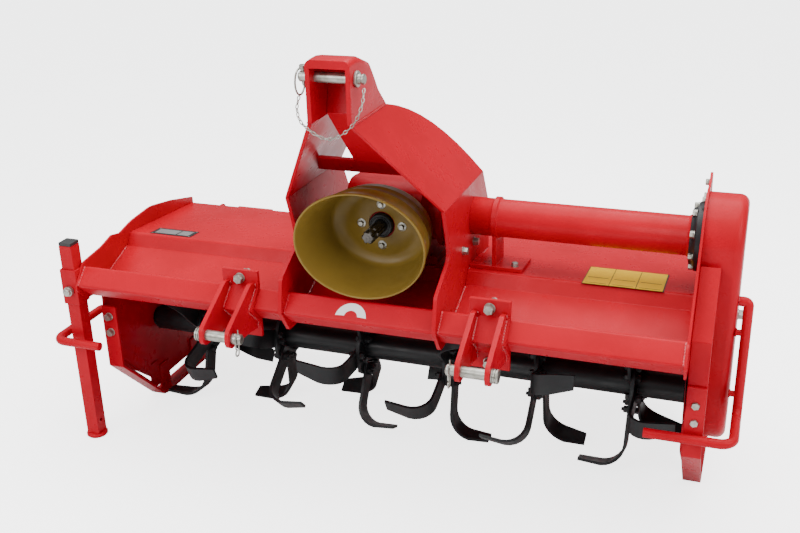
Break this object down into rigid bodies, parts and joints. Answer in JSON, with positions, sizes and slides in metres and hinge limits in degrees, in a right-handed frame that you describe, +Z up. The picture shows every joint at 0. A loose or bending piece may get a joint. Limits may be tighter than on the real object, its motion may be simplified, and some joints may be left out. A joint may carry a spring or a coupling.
{
  "type": "rotary tiller",
  "caption": "Tractor-mounted rotary tiller with a three-point hitch, side chain drive, tine rotor under a hood, parking stand and hinged tailboard.",
  "frame": {"origin": "middle of the footprint of the whole machine, on the floor", "axes": "+X to the chain case's end, -Y towards the tractor, +Z up"},
  "size_m": [1.8909, 0.8753, 1.192],
  "materials": {
    "red_paint": "glossy",
    "black_paint": "satin",
    "yellow_plastic": "glossy",
    "zinc": "satin",
    "steel": "machined",
    "black_plastic": "matte"
  },
  "bodies": {
    "frame": {"front_beam": "red_paint", "end_plate_left": "red_paint", "end_plate_right": "red_paint", "hood_left": "red_paint", "hood_centre": "red_paint", "hood_right": "red_paint", "mast_plate_left": "red_paint", "mast_plate_right": "red_paint", "mast_arm_left": "red_paint", "mast_arm_right": "red_paint", "mast_head": "red_paint", "head_back": "red_paint", "mast_brace": "red_paint", "gearbox": "red_paint", "gearbox_seat": "red_paint", "cross_tube": "red_paint", "tube_foot": "red_paint", "chain_case": "red_paint", "case_bar": "red_paint", "skid_left": "red_paint", "skid_right": "red_paint", "guard_left": "red_paint", "guard_right": "red_paint", "hitch_bracket_left": "red_paint", "hitch_bracket_right": "red_paint", "bracket_clamp_left": "red_paint", "bracket_clamp_right": "red_paint", "stand_sleeve": "red_paint", "tailboard_rod": "red_paint", "bearing_flange": "black_paint", "seal_carrier": "black_paint", "rotor_bearing": "black_paint", "rotor_seal": "black_paint", "hitch_pin_left": "zinc", "hitch_pin_right": "zinc", "top_pin": "zinc", "stand_bolt": "zinc", "drive_shield": "yellow_plastic"},
    "rotor": {"rotor_tube": "black_paint", "rotor_axle_left": "black_paint", "rotor_axle_right": "black_paint", "tine_group_1": "black_paint", "tine_group_2": "black_paint", "tine_group_3": "black_paint", "tine_group_4": "black_paint", "tine_group_5": "black_paint", "tine_group_6": "black_paint"},
    "drive_shaft": {"drive_shaft": "steel"},
    "stand": {"stand_leg": "red_paint", "stand_foot": "red_paint", "stand_cap": "black_plastic"},
    "tailboard": {"tailboard": "red_paint"}
  },
  "joints": [
    {"name": "rotor_spin", "type": "hinge", "parent": "frame", "child": "rotor", "pos_m": [-0.0055, 0.06565, 0.242], "axis": [1, 0, 0], "continuous": true},
    {"name": "drive_spin", "type": "hinge", "parent": "frame", "child": "drive_shaft", "pos_m": [-0.0055, -0.09635, 0.695], "axis": [0, -1, 0], "continuous": true},
    {"name": "stand_slide", "type": "slide", "parent": "frame", "child": "stand", "axis": [0, 0, 1], "range_m": [0, 0.28]},
    {"name": "tailboard_hinge", "type": "hinge", "parent": "frame", "child": "tailboard", "pos_m": [-0.0055, 0.36165, 0.517], "axis": [1, 0, 0], "range_deg": [0, 70]}
  ],
  "couplings": [
    {"joint": "drive_spin", "follows": "rotor_spin", "ratio": 2.5}
  ]
}
